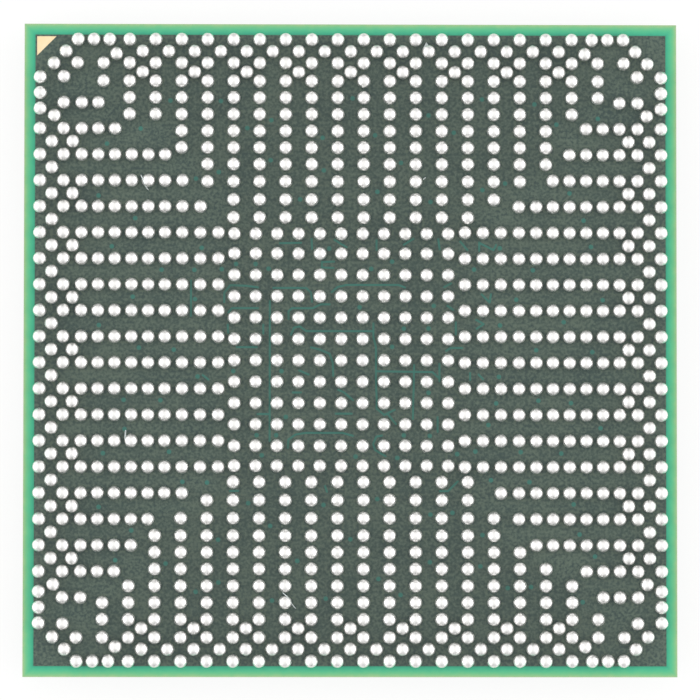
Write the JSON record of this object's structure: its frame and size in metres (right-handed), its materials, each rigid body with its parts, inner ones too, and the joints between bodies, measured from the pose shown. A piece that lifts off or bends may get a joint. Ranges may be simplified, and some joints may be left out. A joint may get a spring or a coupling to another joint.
{
  "type": "ball grid array chip",
  "caption": "Square flip-chip ball grid array package with a radial field of solder balls on a green laminate and a bare silicon die underneath.",
  "frame": {"origin": "middle of the die's bare back face, which is the face the package rests on with its balls up", "axes": "+Z through the laminate towards the solder balls; X and Y along the sawn edges, with the gold corner mark at -X, +Y"},
  "size_m": [0.0252, 0.0252, 0.0023],
  "materials": {
    "solder": "reflowed tin-silver solder, bright with a soft sheen",
    "solder_mask": "green solder mask, semi-gloss, dark where copper lies under it",
    "copper": "plated copper, etched",
    "gold_finish": "nickel and gold plating, satin",
    "build_up_resin": "build-up resin, sawn edge",
    "glass_epoxy": "glass-epoxy core, sawn edge with glass strands",
    "underfill_epoxy": "dark filled epoxy, smooth meniscus",
    "silicon": "ground silicon back, faintly mirror-like"
  },
  "bodies": {
    "root": {"ball_side_mask": "solder_mask", "ground_plane": "copper", "spoke_balls_north": "solder", "spoke_balls_east": "solder", "spoke_balls_south": "solder", "spoke_balls_west": "solder", "core_balls": "solder", "staggered_balls_north": "solder", "staggered_balls_east": "solder", "staggered_balls_south": "solder", "staggered_balls_west": "solder", "edge_balls_north": "solder", "edge_balls_east": "solder", "edge_balls_south": "solder", "edge_balls_west": "solder", "pad_finish": "gold_finish", "signal_lands": "copper", "corner_mark": "gold_finish", "ball_side_dielectric": "build_up_resin", "ball_side_core_copper": "copper", "core_laminate": "glass_epoxy", "core_vias": "copper", "die_side_core_copper": "copper", "die_side_dielectric": "build_up_resin", "die_side_plane": "copper", "bump_pads": "copper", "die_side_mask": "solder_mask", "die_corner_mark": "gold_finish", "underfill": "underfill_epoxy", "die_bumps": "solder", "die": "silicon"}
  },
  "joints": []
}
